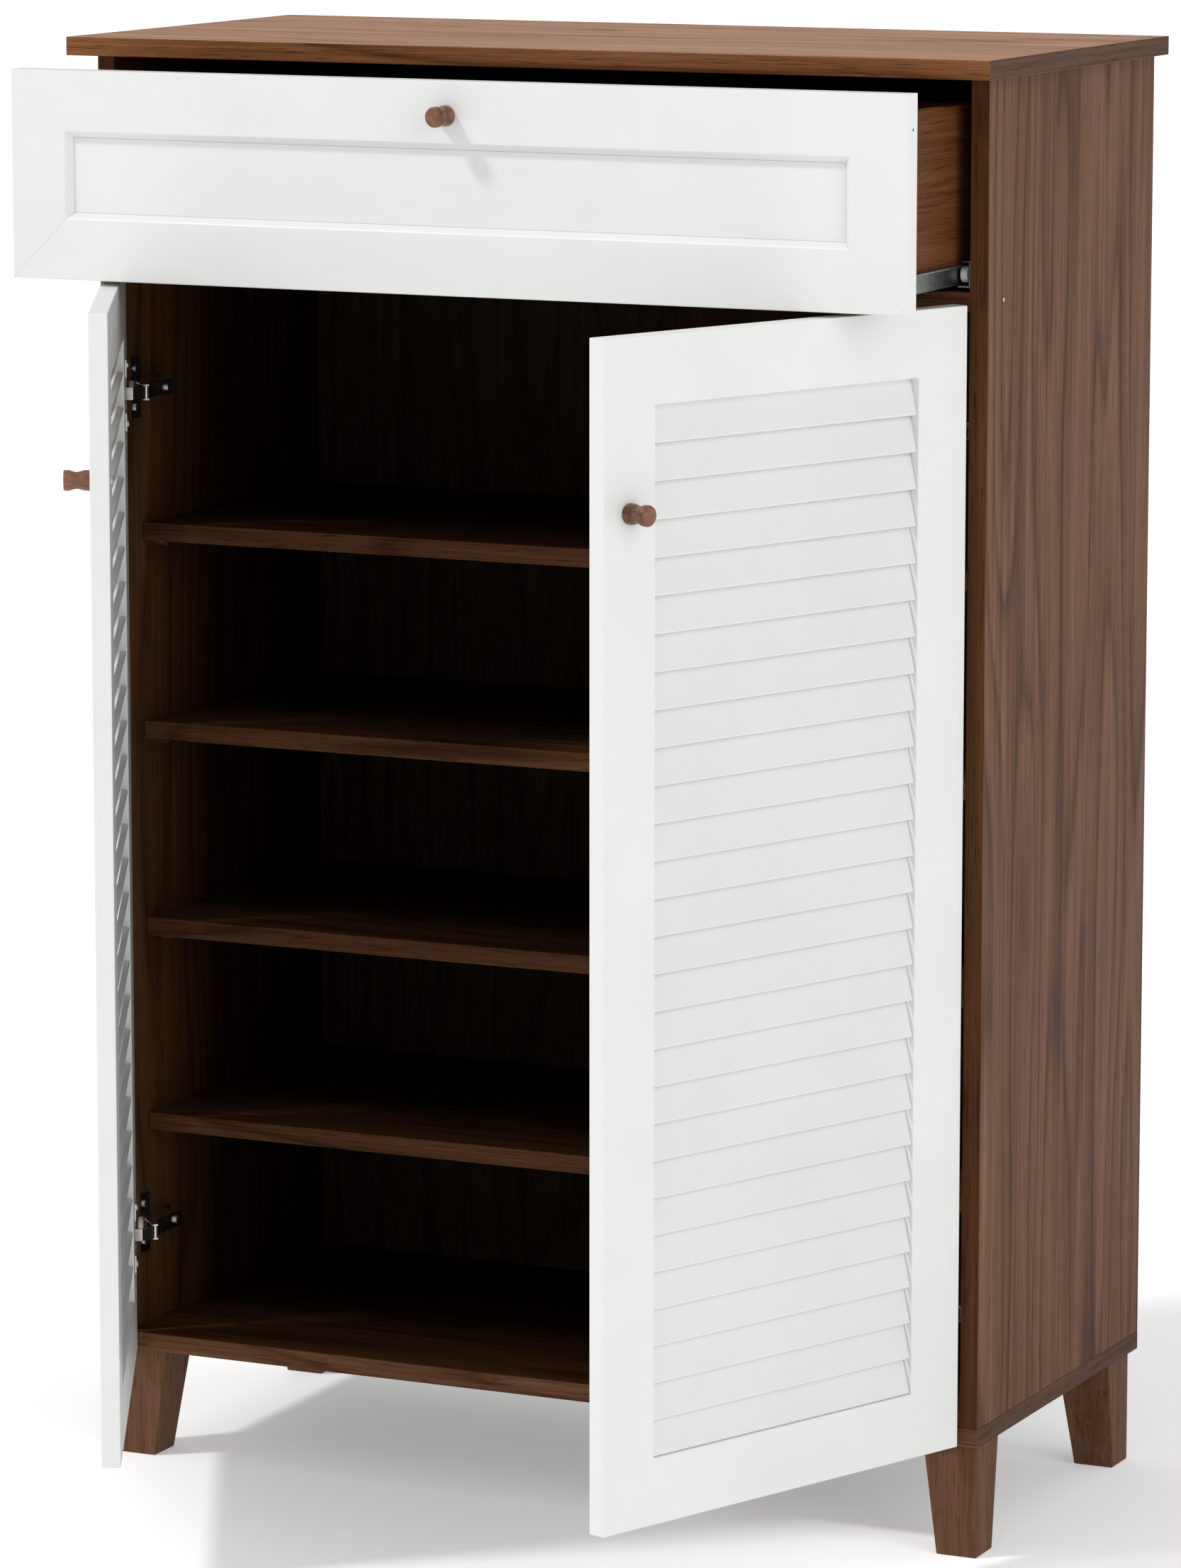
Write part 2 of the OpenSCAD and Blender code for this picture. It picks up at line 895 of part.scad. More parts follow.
top_panel();
left_side_panel();
right_side_panel();
bottom_panel();
back_panel();
drawer_divider();
shelf_1();
shelf_2();
shelf_3();
shelf_4();
shelf_pins();
front_left_leg();
front_right_leg();
back_left_leg();
back_right_leg();
leg_bolts();
cam_locks();
cam_bolts();
fixing_screws();
wood_dowels();
back_panel_nails();
left_slide_channel();
right_slide_channel();
front_rollers();
rear_rollers();
hinge_plates();
hinge_arms();
door_bumpers();
drawer_front_top();
drawer_front_bottom();
drawer_front_left();
drawer_front_right();
drawer_front_panel();
drawer_left_side();
drawer_right_side();
drawer_back();
drawer_base();
drawer_screws();
left_drawer_runner();
right_drawer_runner();
drawer_knob();
left_hinge_stile();
left_free_stile();
left_top_rail();
left_bottom_rail();
left_louvres();
left_knob();
left_door_screws();
left_hinge_cups();
left_hinge_links();
right_hinge_stile();
right_free_stile();
right_top_rail();
right_bottom_rail();
right_louvres();
right_knob();
right_door_screws();
right_hinge_cups();
right_hinge_links();
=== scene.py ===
import json
import math

import bmesh
import bpy
from mathutils import Matrix, Vector


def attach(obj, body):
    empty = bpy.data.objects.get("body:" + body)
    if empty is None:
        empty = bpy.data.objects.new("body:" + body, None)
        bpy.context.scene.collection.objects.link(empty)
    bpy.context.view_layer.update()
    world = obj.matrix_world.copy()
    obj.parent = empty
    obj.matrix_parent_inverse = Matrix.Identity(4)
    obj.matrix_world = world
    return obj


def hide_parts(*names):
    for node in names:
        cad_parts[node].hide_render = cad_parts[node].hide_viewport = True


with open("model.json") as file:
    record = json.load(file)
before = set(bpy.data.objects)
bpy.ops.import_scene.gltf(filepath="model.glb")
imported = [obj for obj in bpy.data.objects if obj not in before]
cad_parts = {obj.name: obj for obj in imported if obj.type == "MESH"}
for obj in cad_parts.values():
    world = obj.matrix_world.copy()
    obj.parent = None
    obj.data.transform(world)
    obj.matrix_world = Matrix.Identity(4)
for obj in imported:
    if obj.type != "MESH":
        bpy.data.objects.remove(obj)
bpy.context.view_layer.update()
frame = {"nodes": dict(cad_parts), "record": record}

joints = {j["name"]: j for j in frame["record"]["behaviour"]["joints"]}
mm = 0.001
axisOf = {"x": 0, "y": 1, "z": 2}

# small node helpers


def startMaterial(name):
    material = bpy.data.materials.new(name)
    material.use_nodes = True
    tree = material.node_tree
    return material, tree, tree.nodes["Principled BSDF"]


def addNode(tree, kind, inputs=None, **settings):
    node = tree.nodes.new(kind)
    for key, value in settings.items():
        setattr(node, key, value)
    for key, value in (inputs or {}).items():
        if isinstance(value, bpy.types.NodeSocket):
            tree.links.new(value, node.inputs[key])
        else:
            node.inputs[key].default_value = value
    return node


def calc(tree, operation, a, b=0.0):
    return addNode(tree, "ShaderNodeMath", {0: a, 1: b}, operation=operation).outputs[0]


def noiseOn(tree, place, scale, detail, roughness, shift=(0, 0, 0)):
    spread = addNode(tree, "ShaderNodeMapping", {"Vector": place, "Location": shift, "Scale": scale})
    noise = addNode(
        tree,
        "ShaderNodeTexNoise",
        {"Vector": spread.outputs[0], "Scale": 1.0, "Detail": detail, "Roughness": roughness},
    )
    return noise.outputs["Fac"]


def rampOn(tree, value, stops):
    ramp = addNode(tree, "ShaderNodeValToRGB", {"Fac": value})
    points = ramp.color_ramp.elements
    while len(points) < len(stops):
        points.new(0.5)
    for point, (at, colour) in zip(points, stops):
        point.position = at
        point.color = (*colour, 1.0)
    return ramp.outputs["Color"]


def blendColours(tree, mode, share, a, b):
    mix = addNode(tree, "ShaderNodeMix", {0: share}, data_type="RGBA", blend_type=mode)
    for socket, value in ((mix.inputs[6], a), (mix.inputs[7], b)):
        if isinstance(value, bpy.types.NodeSocket):
            tree.links.new(value, socket)
        else:
            socket.default_value = (*value, 1.0)
    return mix.outputs[2]


def bumpOn(tree, shader, height, depth):
    bump = addNode(tree, "ShaderNodeBump", {"Height": height, "Distance": depth, "Strength": 1.0})
    tree.links.new(bump.outputs[0], shader.inputs["Normal"])


def grey(value):
    return (value, value, value)


def evenNoise(tree, place, values):
    scale, detail, roughness = values
    return noiseOn(tree, place, grey(scale), detail, roughness)


def objectPlace(tree):
    return addNode(tree, "ShaderNodeTexCoord").outputs["Object"]


def piecePlace(tree, attribute):
    return addNode(tree, "ShaderNodeAttribute", attribute_name=attribute).outputs["Vector"]


# materials

walnutLook = {
    # scale across and along the grain, then the noise's detail and roughness
    "arches": (8.5, 0.85, 1.6, 0.45),
    "bands": (24.0, 0.45, 2.0, 0.5),
    "fibre": (230.0, 2.6, 3.0, 0.6),
    "hair": (640.0, 8.0, 2.0, 0.6),
    "pores": (850.0, 38.0, 1.0, 0.5),
    "rings": 14.0,  # figure lines over the whole range of the arches' noise
    "archShare": 0.36,
    "archMean": 0.55,
    "bandShare": 0.24,
    "fibreShare": 0.43,
    "hairShare": 0.26,
    "hairBreaks": 0.9,  # how far the hairs break up a figure line
    "hairKeeps": 0.55,
    "fibreRelief": 0.5,
    "roughSpread": 0.16,
    "bump": 0.00006,  # metres
}
ringStops = [(0.0, 0.5), (0.15, 0.3), (0.7, 0.55), (0.9, 1.0), (1.0, 0.55)]
depthStops = (0.42, 0.62, 0.86)
poreStops = [(0.30, grey(0.55)), (0.41, grey(1.0))]


def walnutMaterial(
    name,
    grain,
    dark,
    middle,
    light,
    roughness=0.42,
    shift=(0, 0, 0),
    place=None,
    gloss=0.04,
    figure=1.0,
    paintedDepthShade=None,
):
    material, tree, shader = startMaterial(name)
    look = walnutLook
    source = piecePlace(tree, place) if place else objectPlace(tree)

    def stretched(kind):
        across, along, detail, rough = look[kind]
        scale = [across] * 3
        scale[axisOf[grain]] = along
        return noiseOn(tree, source, tuple(scale), detail, rough, shift)

    def weigh(value, share):
        return calc(tree, "MULTIPLY", value, share)

    arches = stretched("arches")
    bands = stretched("bands")
    fibre = stretched("fibre")
    hair = stretched("hair")
    pores = stretched("pores")
    ring = calc(tree, "FRACT", weigh(arches, look["rings"]))
    lines = rampOn(tree, ring, [(at, grey(value)) for at, value in ringStops])
    broken = calc(tree, "ADD", weigh(hair, look["hairBreaks"]), look["hairKeeps"])
    depth = weigh(calc(tree, "MULTIPLY", lines, broken), look["archShare"] * figure)
    for value, share in ((bands, "bandShare"), (fibre, "fibreShare"), (hair, "hairShare")):
        depth = calc(tree, "ADD", depth, weigh(value, look[share]))
    calmer = look["archShare"] * (1.0 - figure) * look["archMean"]
    colour = rampOn(tree, depth, [(at - calmer, c) for at, c in zip(depthStops, (light, middle, dark))])
    specks = rampOn(tree, pores, poreStops)
    colour = blendColours(tree, "MULTIPLY", 1.0, colour, specks)
    # painted shade: darken the colour along y, from the front edges towards the back
    if paintedDepthShade:
        run = addNode(tree, "ShaderNodeSeparateXYZ", {"Vector": source}).outputs["Y"]
        share = addNode(
            tree,
            "ShaderNodeMapRange",
            {"Value": run, "From Min": paintedDepthShade["from"], "From Max": paintedDepthShade["to"], "To Max": paintedDepthShade["left"]},
        )
        share.inputs["To Min"].default_value = 1.0
        colour = blendColours(tree, "MULTIPLY", 1.0, colour, share.outputs[0])
    tree.links.new(colour, shader.inputs["Base Color"])
    shader.inputs["Specular IOR Level"].default_value = gloss
    rough = calc(tree, "ADD", weigh(fibre, look["roughSpread"]), roughness - look["roughSpread"] / 2)
    tree.links.new(rough, shader.inputs["Roughness"])
    relief = calc(tree, "SUBTRACT", pores, weigh(fibre, look["fibreRelief"]))
    bumpOn(tree, shader, relief, look["bump"])
    return material


lacquerLook = {
    "colour": (0.765, 0.768, 0.752),
    "shade": (0.735, 0.738, 0.722),
    "stops": (0.30, 0.62),
    "roughness": 0.36,
    "roughSpread": 0.14,
    # scale, detail and roughness of each noise
    "peel": (420.0, 2.0, 0.5),
    "mist": (60.0, 3.0, 0.6),
    "cloud": (7.0, 4.0, 0.6),
    "bump": 0.000018,
}


def lacquerMaterial():
    material, tree, shader = startMaterial("white_lacquer")
    look = lacquerLook
    source = objectPlace(tree)
    cloud = evenNoise(tree, source, look["cloud"])
    peel = evenNoise(tree, source, look["peel"])
    mist = evenNoise(tree, source, look["mist"])
    colour = rampOn(tree, cloud, list(zip(look["stops"], (look["shade"], look["colour"]))))
    tree.links.new(colour, shader.inputs["Base Color"])
    spread = look["roughSpread"]
    rough = calc(tree, "ADD", calc(tree, "MULTIPLY", mist, spread), look["roughness"] - spread / 2)
    tree.links.new(rough, shader.inputs["Roughness"])
    bumpOn(tree, shader, peel, look["bump"])
    return material


metalLook = {
    "scratchNoise": (2.0, 0.6),
    "patches": (180.0, 3.0, 0.6),
    "stops": (0.32, 0.68),
    "roughSpread": 0.22,
    "bump": 0.00001,
}


def metalMaterial(name, colour, shade, roughness, scratch=(900.0, 30.0, 900.0)):
    material, tree, shader = startMaterial(name)
    look = metalLook
    source = objectPlace(tree)
    lines = noiseOn(tree, source, scratch, *look["scratchNoise"])
    patches = evenNoise(tree, source, look["patches"])
    tone = rampOn(tree, patches, list(zip(look["stops"], (shade, colour))))
    tree.links.new(tone, shader.inputs["Base Color"])
    shader.inputs["Metallic"].default_value = 1.0
    spread = look["roughSpread"]
    rough = calc(tree, "ADD", calc(tree, "MULTIPLY", lines, spread), roughness - spread / 2)
    tree.links.new(rough, shader.inputs["Roughness"])
    bumpOn(tree, shader, lines, look["bump"])
    return material


plasticLook = {
    "grit": (1500.0, 2.0, 0.6),
    "cloud": (90.0, 2.0, 0.5),
    "stops": (0.35, 0.65),
    "roughSpread": 0.12,
    "bump": 0.00001,
}


def plasticMaterial(name, colour, shade, roughness):
    material, tree, shader = startMaterial(name)
    look = plasticLook
    source = objectPlace(tree)
    grit = evenNoise(tree, source, look["grit"])
    cloud = evenNoise(tree, source, look["cloud"])
    tone = rampOn(tree, cloud, list(zip(look["stops"], (shade, colour))))
    tree.links.new(tone, shader.inputs["Base Color"])
    spread = look["roughSpread"]
    rough = calc(tree, "ADD", calc(tree, "MULTIPLY", grit, spread), roughness - spread / 2)
    tree.links.new(rough, shader.inputs["Roughness"])
    bumpOn(tree, shader, grit, look["bump"])
    return material


studio = {
    "world": 0.57,
    "floorGlow": 0.3,
    "floorSize": 160.0,
    "floorCloud": (0.6, 2.0, 0.5),
    "floorTones": [(0.3, grey(0.88)), (0.7, grey(0.90))],
    "floorRoughness": 0.9,
    "keyStrength": 1.4,
    "keyAngle": 7.0,
    "keyFrom": (-0.50, -0.44, 0.745),
    "sideStrength": 0.78,
    "sideAngle": 45.0,
    "sideFrom": (0.88, -0.40, 0.38),
    "lampDistance": 4.0,
}


def floorMaterial():
    material, tree, shader = startMaterial("studio_floor")
    cloud = evenNoise(tree, objectPlace(tree), studio["floorCloud"])
    tree.links.new(rampOn(tree, cloud, studio["floorTones"]), shader.inputs["Base Color"])
    shader.inputs["Roughness"].default_value = studio["floorRoughness"]
    shader.inputs["Specular IOR Level"].default_value = 0.0
    shader.inputs["Emission Color"].default_value = (1, 1, 1, 1)
    shader.inputs["Emission Strength"].default_value = studio["floorGlow"]
    return material


tones = {
    "outside": ((0.060, 0.023, 0.011), (0.126, 0.057, 0.030), (0.198, 0.100, 0.060)),
    # painted light: the top is a lit copy of the walnut, far brighter than the sides, standing in for the
    # light from above
    "top": ((0.220, 0.098, 0.046), (0.390, 0.200, 0.112), (0.520, 0.300, 0.188)),
    # partly painted light and shade: the edges have a darker edging colour, and each edge's copy is lighter
    # or darker for the light on it, the top's front edge lit, the side panels' front edges and the board
    # ends shaded
    "topEdge": ((0.100, 0.036, 0.013), (0.225, 0.088, 0.034), (0.320, 0.145, 0.068)),
    "bottomEdge": ((0.075, 0.030, 0.013), (0.130, 0.058, 0.028), (0.190, 0.092, 0.048)),
    "deepEdge": ((0.048, 0.020, 0.010), (0.088, 0.042, 0.023), (0.132, 0.070, 0.043)),
    "frontEdge": ((0.044, 0.015, 0.005), (0.088, 0.035, 0.013), (0.130, 0.054, 0.024)),
    # painted shade: the inside and the shelf edges are darkened copies of the walnut, standing in for the
    # shade within the cabinet
    "inside": ((0.048, 0.019, 0.007), (0.105, 0.045, 0.017), (0.160, 0.072, 0.029)),
    "shadedShelfEdge": ((0.040, 0.016, 0.007), (0.084, 0.035, 0.015), (0.130, 0.057, 0.026)),
    # painted shade: the hardboard back is nearly black, standing in for the shade at the back of the cabinet
    "shadedBacking": ((0.020, 0.011, 0.006), (0.031, 0.018, 0.010), (0.044, 0.025, 0.014)),
    "leg": ((0.074, 0.032, 0.015), (0.132, 0.064, 0.034), (0.190, 0.101, 0.058)),
    "drawer": ((0.070, 0.022, 0.007), (0.135, 0.048, 0.017), (0.195, 0.076, 0.030)),
    "knob": ((0.100, 0.040, 0.020), (0.200, 0.088, 0.048), (0.290, 0.140, 0.082)),
}
# painted shade: the inside darkens from the front edges to the back, standing in for the shade deep in the
# cabinet, and this share is left there
paintedInteriorShade = {"from": 0.005, "to": 0.18, "left": 0.2}

outsideUp = walnutMaterial("walnut_outside", "z", *tones["outside"], shift=(3.1, 0.4, 1.7))
# painted light: the top's lit walnut copy
litTopAcross = walnutMaterial("walnut_top", "x", *tones["top"], shift=(0.3, 2.2, 0.6), gloss=0.03)
# partly painted light and shade: edge copies made lighter or darker for the light on each edge
topEdge = walnutMaterial("walnut_top_edge", "x", *tones["topEdge"], shift=(0.9, 1.2, 5.0))
bottomEdge = walnutMaterial("walnut_bottom_edge", "x", *tones["bottomEdge"], shift=(0.4, 1.9, 3.0))
edgeDeep = walnutMaterial("walnut_side_edge", "y", *tones["deepEdge"], shift=(0.2, 0.5, 2.6), figure=0.3)
frontUp = walnutMaterial("walnut_front_edge", "z", *tones["frontEdge"], shift=(1.6, 0.2, 0.3), figure=0.5)
# painted shade: the inside copies of the walnut, darkened and fading darker towards the back
shadedInsideUp = walnutMaterial("walnut_inside_painted_shade", "z", *tones["inside"], roughness=0.55, paintedDepthShade=paintedInteriorShade)
shadedInsideAcross = walnutMaterial("walnut_shelf", "x", *tones["inside"], roughness=0.55, paintedDepthShade=paintedInteriorShade)
shadedShelfEdge = walnutMaterial("walnut_shelf_edge", "x", *tones["shadedShelfEdge"], roughness=0.5)
legUp = walnutMaterial("walnut_leg", "z", *tones["leg"], shift=(0.7, 3.3, 0.1), figure=0.25)
drawerDeep = walnutMaterial("walnut_drawer_side", "y", *tones["drawer"], shift=(0.7, 0.6, 2.1), figure=0.4)
drawerAcross = walnutMaterial("walnut_drawer_back", "x", *tones["drawer"], shift=(0.7, 0.6, 2.1), figure=0.4)
knobTurned = walnutMaterial("walnut_knob", "y", *tones["knob"], roughness=0.34, place="turned", gloss=0.3)
# painted shade: the near-black hardboard back
shadedHardboard = walnutMaterial("hardboard_back", "z", *tones["shadedBacking"], roughness=0.7, shift=(5, 1, 2))
beech = walnutMaterial("beech_dowel", "z", (0.42, 0.24, 0.12), (0.52, 0.33, 0.18), (0.60, 0.40, 0.24))
lacquer = lacquerMaterial()
zinc = metalMaterial("zinc_plate", (0.22, 0.24, 0.225), (0.14, 0.155, 0.145), 0.36)
nickel = metalMaterial("nickel_plate", (0.76, 0.72, 0.69), (0.60, 0.56, 0.54), 0.24, (600.0, 600.0, 40.0))
steel = metalMaterial("plated_steel", (0.62, 0.61, 0.58), (0.46, 0.45, 0.43), 0.30)
nylon = plasticMaterial("nylon_roller", (0.80, 0.80, 0.77), (0.72, 0.72, 0.69), 0.5)
rubber = plasticMaterial("soft_bumper", (0.10, 0.055, 0.035), (0.07, 0.04, 0.025), 0.45)
# painted shade: near-black walls for the brad hole in the drawer front
shadedHoleWall = plasticMaterial("hole_wall_painted_shade", (0.05, 0.04, 0.035), (0.03, 0.025, 0.02), 0.7)
print("materials ready")

# mesh helpers

meshing = {
    "join": 2e-6,
    "flat": 0.5,
    "steep": 40.0,
    "smooth": 12.0,
    "smoothTurned": 30.0,
    "facing": 0.75,  # how nearly a face looks along a rule's direction
}


def finishPiece(bm, name, body, replaced, materials, place=None, smoothAngle=meshing["smooth"]):
    mesh = bpy.data.meshes.new(name)
    bm.to_mesh(mesh)
    bm.free()
    if place:
        turned = mesh.attributes.new("turned", "FLOAT_VECTOR", "POINT")
        for i, v in enumerate(mesh.vertices):
            turned.data[i].vector = v.co
        mesh.transform(place)
    for material in materials:
        mesh.materials.append(material)
    for polygon in mesh.polygons:
        polygon.use_smooth = True
    mesh.set_sharp_from_angle(angle=math.radians(smoothAngle))
    piece = bpy.data.objects.new(name, mesh)
    bpy.context.scene.collection.objects.link(piece)
    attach(piece, body)
    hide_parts(*replaced)
    return piece


def copyOf(node):
    bm = bmesh.new()
    bm.from_mesh(frame["nodes"][node].data)
    bmesh.ops.remove_doubles(bm, verts=bm.verts, dist=meshing["join"])
    bmesh.ops.dissolve_limit(
        bm, angle_limit=math.radians(meshing["flat"]), verts=bm.verts, edges=bm.edges
    )
    bmesh.ops.recalc_face_normals(bm, faces=bm.faces)
    return bm


def sharpEdges(bm, shortest, steep=meshing["steep"]):
    return [
        e
        for e in bm.edges
        if e.is_manifold and e.calc_length() > shortest and e.calc_face_angle() > math.radians(steep)
    ]


def roundOff(bm, edges, width, segments=2):
    bmesh.ops.bevel(
        bm,
        geom=edges,
        offset=width,
        offset_type="OFFSET",
        segments=segments,
        profile=0.5,
        affect="EDGES",
        clamp_overlap=True,
        material=-1,
    )


def paintFaces(bm, rules):
    for face in bm.faces:
        for index, direction in rules:
            if face.normal.dot(Vector(direction)) > meshing["facing"]:
                face.material_index = index


# carcass boards

carcass = {"arris": 0.4, "topArris": 0.5, "legArris": 1.2, "longEdge": 0.02}
front, right, left = (0, -1, 0), (1, 0, 0), (-1, 0, 0)
# each board's faces take the walnut copy for the way they face: the top's lit copy, the shaded inside
# copies, and the edge copies with their painted light and shade
boards = {
    "top_panel": ([litTopAcross, topEdge, edgeDeep], [(1, front), (2, right), (2, left)]),
    "left_side_panel": ([outsideUp, frontUp, shadedInsideUp], [(1, front), (2, right)]),
    "right_side_panel": ([outsideUp, frontUp, shadedInsideUp], [(1, front), (2, left)]),
    "bottom_panel": ([shadedInsideAcross, bottomEdge, edgeDeep], [(1, front), (2, right), (2, left)]),
    "drawer_divider": ([shadedInsideAcross, shadedShelfEdge], [(1, front)]),
    "shelf_1": ([shadedInsideAcross, shadedShelfEdge], [(1, front)]),
    "shelf_2": ([shadedInsideAcross, shadedShelfEdge], [(1, front)]),
    "shelf_3": ([shadedInsideAcross, shadedShelfEdge], [(1, front)]),
    "shelf_4": ([shadedInsideAcross, shadedShelfEdge], [(1, front)]),
}
for node, (materials, rules) in boards.items():
    bm = copyOf(node)
    arris = carcass["topArris"] if node == "top_panel" else carcass["arris"]
    roundOff(bm, sharpEdges(bm, carcass["longEdge"]), arris * mm)
    paintFaces(bm, rules)
    finishPiece(bm, "board_" + node, "cabinet", [node], materials)

for node in ("front_left_leg", "front_right_leg", "back_left_leg", "back_right_leg"):
    bm = copyOf(node)
    roundOff(bm, sharpEdges(bm, carcass["longEdge"]), carcass["legArris"] * mm, 3)
    finishPiece(bm, "tapered_" + node, "cabinet", [node], [legUp])
print("carcass ready")

# drawer

drawerBoards = {
    "drawer_left_side": drawerDeep,
    "drawer_right_side": drawerDeep,
    "drawer_back": drawerAcross,
    "drawer_base": drawerAcross,
}
for node, material in drawerBoards.items():
    bm = copyOf(node)
    roundOff(bm, sharpEdges(bm, carcass["longEdge"]), carcass["arris"] * mm)
    finishPiece(bm, "box_" + node, "drawer", [node], [material])

drawerFront = {
    "arris": 0.9,
    "mitre": 0.22,
    "steep": 20.0,
    "slanted": 0.5,  # a mitre's normal has at least this much along x and z
    "square": 0.1,
    "bradWall": 6e-6,  # the largest face in the wall of the brad hole, in square metres
}


def onMitre(face):
    slant = min(abs(face.normal.x), abs(face.normal.z))
    return slant > drawerFront["slanted"] and abs(face.normal.y) < drawerFront["square"]


for node in ("drawer_front_top", "drawer_front_bottom", "drawer_front_left", "drawer_front_right"):
    bm = copyOf(node)
    long = sharpEdges(bm, carcass["longEdge"], drawerFront["steep"])
    outer = [e for e in long if not any(onMitre(f) for f in e.link_faces)]
    roundOff(bm, outer, drawerFront["arris"] * mm, 3)
    joint = [e for e in bm.edges if sum(onMitre(f) for f in e.link_faces) == 1]
    roundOff(bm, joint, drawerFront["mitre"] * mm, 1)
    # painted shade: the small walls of the brad hole get the near-black hole material
    if node == "drawer_front_right":
        for face in bm.faces:
            small = face.calc_area() < drawerFront["bradWall"]
            inHole = abs(face.normal.x) < drawerFront["square"] and len(face.verts) == 4
            face.material_index = 1 if small and inHole else 0
    finishPiece(bm, "frame_" + node, "drawer", [node], [lacquer, shadedHoleWall])
print("drawer ready")

# doors

door = {
    "arris": 0.9,
    "slatArris": 0.7,
    "longEdge": 0.005,
    "slatEdge": 0.004,
    "netTurn": 2 / 3,
    "cupSides": 48,
    "wing": 29.0,  # from the end of a hinge cup's flange to the cup's centre
}


def doorPose(side):
    turn = joints[side + "_door_turn"]
    link = joints[side + "_link_turn"]
    sign = turn["axis"][2]
    # the joint's lower limit closes the door; the link turns back a third of it
    toClose = sign * math.radians(turn["range_deg"][0]) * door["netTurn"]
    cup = Vector(turn["pos_m"])
    arm = Vector(link["pos_m"])
    closedCup = arm + Matrix.Rotation(-toClose / 2, 3, "Z") @ (cup - arm)
    return Matrix.Translation(cup) @ Matrix.Rotation(-toClose, 4, "Z") @ Matrix.Translation(-closedCup)


def closedBox(node, place):
    back = place.inverted()
    points = [back @ v.co for v in frame["nodes"][node].data.vertices]
    low = Vector([min(p[i] for p in points) for i in range(3)])
    high = Vector([max(p[i] for p in points) for i in range(3)])
    return low, high


def cutWith(piece, cutters):
    for cutter in cutters:
        cut = piece.modifiers.new("cut", "BOOLEAN")
        cut.operation = "DIFFERENCE"
        cut.solver = "EXACT"
        cut.object = cutter
    evaluated = piece.evaluated_get(bpy.context.evaluated_depsgraph_get())
    mesh = bpy.data.meshes.new_from_object(evaluated)
    piece.modifiers.clear()
    piece.data = mesh
    for cutter in cutters:
        bpy.data.objects.remove(cutter)


def cupCutters(side, place, innerFace):
    cupLow, cupHigh = closedBox(side + "_hinge_cups", place)
    radius = (cupHigh.x - cupLow.x) / 2
    depth = 2 * (innerFace - cupLow.y)
    cutters = []
    for height in (cupLow.z + door["wing"] * mm, cupHigh.z - door["wing"] * mm):
        bm = bmesh.new()
        bmesh.ops.create_cone(
            bm, cap_ends=True, segments=door["cupSides"], radius1=radius, radius2=radius, depth=depth
        )
        bmesh.ops.rotate(bm, verts=bm.verts, matrix=Matrix.Rotation(math.pi / 2, 3, "X"))
        centre = Vector(((cupLow.x + cupHigh.x) / 2, innerFace, height))
        bmesh.ops.translate(bm, verts=bm.verts, vec=centre)
        bmesh.ops.transform(bm, matrix=place, verts=bm.verts)
        mesh = bpy.data.meshes.new("cutter")
        bm.to_mesh(mesh)
        bm.free()
        cutter = bpy.data.objects.new("cutter", mesh)
        bpy.context.scene.collection.objects.link(cutter)
        cutters.append(cutter)
    return cutters


def doorFrame(side, place):
    nodes = [side + n for n in ("_hinge_stile", "_free_stile", "_top_rail", "_bottom_rail")]
    boxes = [closedBox(n, place) for n in nodes]
    low = Vector([min(b[0][i] for b in boxes) for i in range(3)])
    high = Vector([max(b[1][i] for b in boxes) for i in range(3)])
    railTop, railLow = boxes[2], boxes[3]
    holeLow = Vector((railLow[0].x, 0, railLow[1].z))
    holeHigh = Vector((railLow[1].x, 0, railTop[0].z))
    columns = [low.x, holeLow.x, holeHigh.x, high.x]
    rows = [low.z, holeLow.z, holeHigh.z, high.z]
    bm = bmesh.new()
    spans = len(columns) - 1
    half = spans / 2
    bmesh.ops.create_grid(bm, x_segments=spans, y_segments=spans, size=half)
    for v in bm.verts:
        v.co = Vector((columns[round(v.co.x + half)], high.y, rows[round(v.co.y + half)]))
    opening = (holeLow + holeHigh) / 2
    middle = [
        f
        for f in bm.faces
        if abs(f.calc_center_median().x - opening.x) < mm
        and abs(f.calc_center_median().z - opening.z) < mm
    ]
    bmesh.ops.delete(bm, geom=middle, context="FACES")
    grown = bmesh.ops.extrude_face_region(bm, geom=list(bm.faces))
    moved = [g for g in grown["geom"] if isinstance(g, bmesh.types.BMVert)]
    bmesh.ops.translate(bm, verts=moved, vec=(0, low.y - high.y, 0))
    bmesh.ops.recalc_face_normals(bm, faces=bm.faces)
    roundOff(bm, sharpEdges(bm, door["longEdge"]), door["arris"] * mm, 3)
    bmesh.ops.transform(bm, matrix=place, verts=bm.verts)
    piece = finishPiece(bm, side + "_door_frame", side + "_door", nodes, [lacquer])
    cutWith(piece, cupCutters(side, place, high.y))


for side in ("left", "right"):
    place = doorPose(side)
    doorFrame(side, place)
    bm = copyOf(side + "_louvres")
    roundOff(bm, sharpEdges(bm, door["slatEdge"]), door["slatArris"] * mm)
    finishPiece(bm, side + "_slats", side + "_door", [side + "_louvres"], [lacquer])
print("doors ready")

# knobs

knob = {
    "sides": 56,
    # share of the length from the door, share of the radius
    "profile": [
        (0.0, 0.0),
        (0.0, 0.90),
        (0.012, 0.955),
        (0.04, 1.0),
        (0.20, 1.0),
        (0.28, 0.965),
        (0.37, 0.89),
        (0.46, 0.83),
        (0.52, 0.815),
        (0.58, 0.83),
        (0.67, 0.89),
        (0.74, 0.96),
        (0.79, 1.0),
        (0.95, 1.0),
        (0.98, 0.965),
        (0.995, 0.90),
        (1.0, 0.0),
    ],
}


